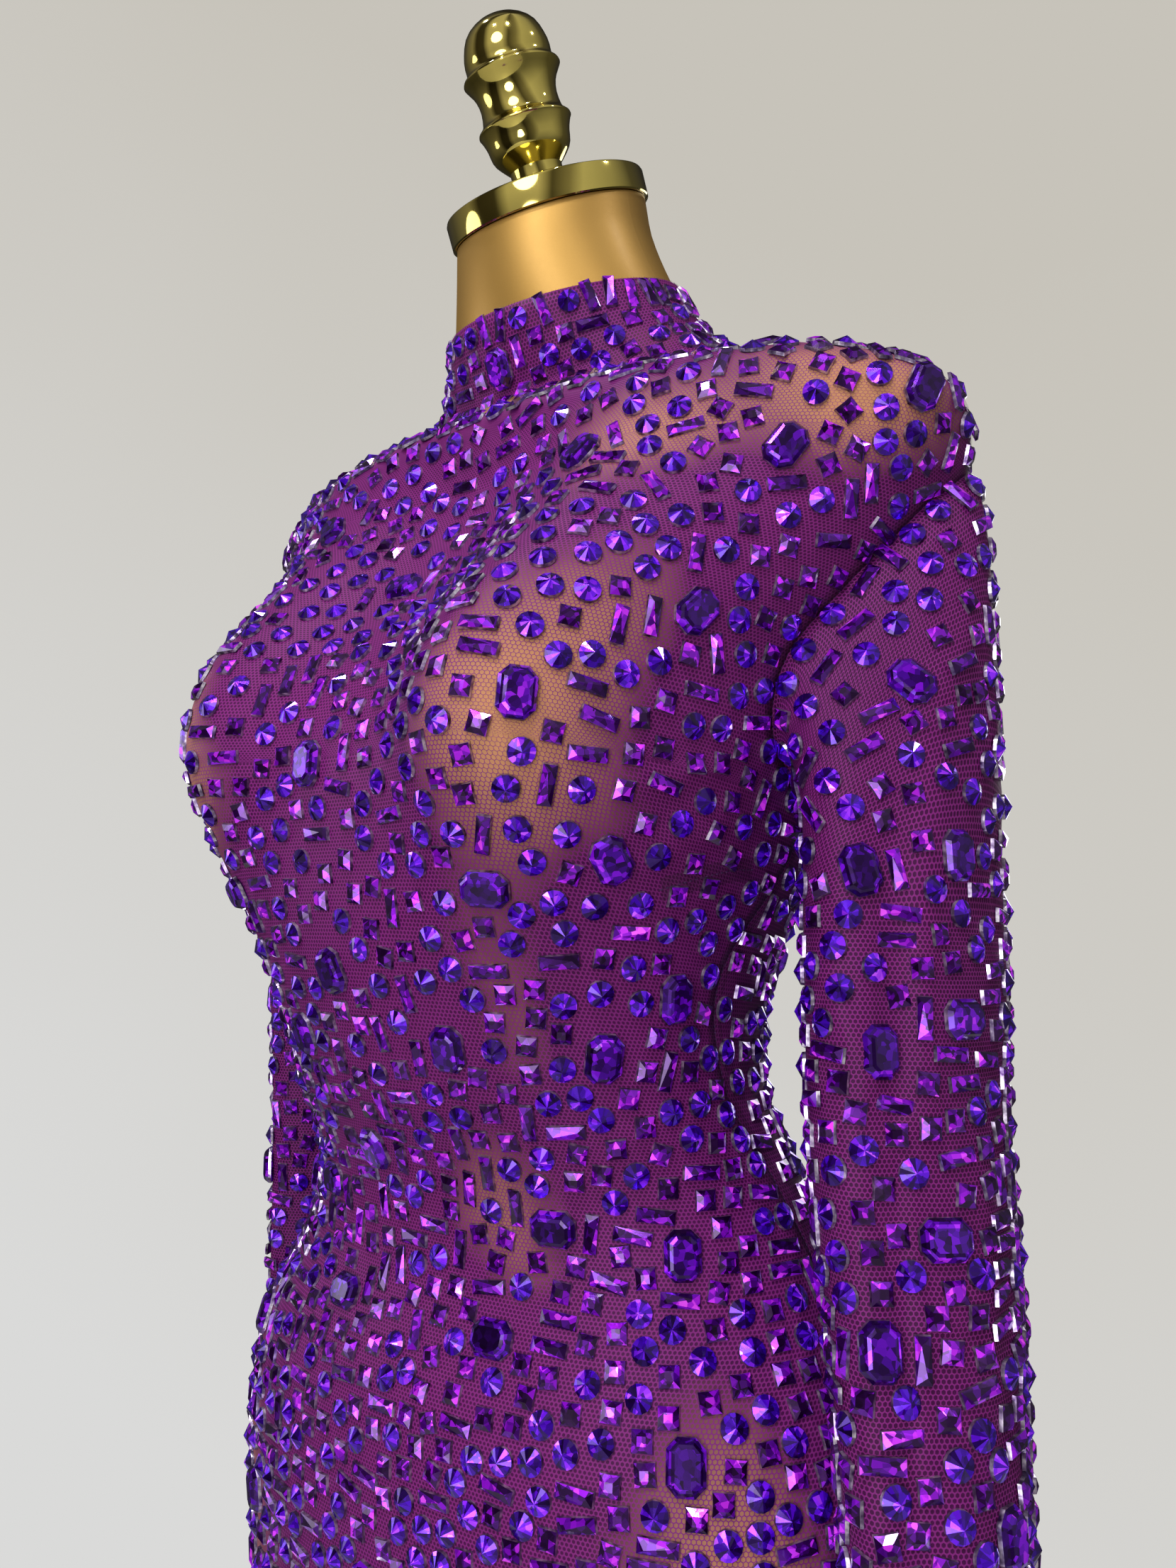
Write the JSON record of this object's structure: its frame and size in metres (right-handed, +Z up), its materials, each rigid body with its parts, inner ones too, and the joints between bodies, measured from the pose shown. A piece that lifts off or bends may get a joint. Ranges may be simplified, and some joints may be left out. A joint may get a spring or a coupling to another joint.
{
  "type": "long sleeve party dress on a limbless dress form",
  "caption": "Short, close fitting, high neck long sleeve dress of violet stretch net set all over with faceted stones, on a gold limbless dress form with pole and round foot.",
  "frame": {"origin": "centre of the base's underside, on the floor", "axes": "+Z up the pole to the finial, -Y out of the dress's front, +X to the wearer's left"},
  "size_m": [0.4863, 0.32, 1.5974],
  "materials": {
    "net": "violet stretch net, semi-transparent",
    "stone": "faceted violet acrylic with a foil back",
    "form": "satin gold lacquer",
    "polished_gold": "polished gold plate"
  },
  "bodies": {
    "root": {"front_panel": "net", "back_panel": "net", "collar": "net", "left_sleeve": "net", "right_sleeve": "net", "form_torso": "form", "neck_cap": "polished_gold", "finial": "polished_gold", "pole": "polished_gold", "base": "polished_gold"}
  },
  "joints": []
}
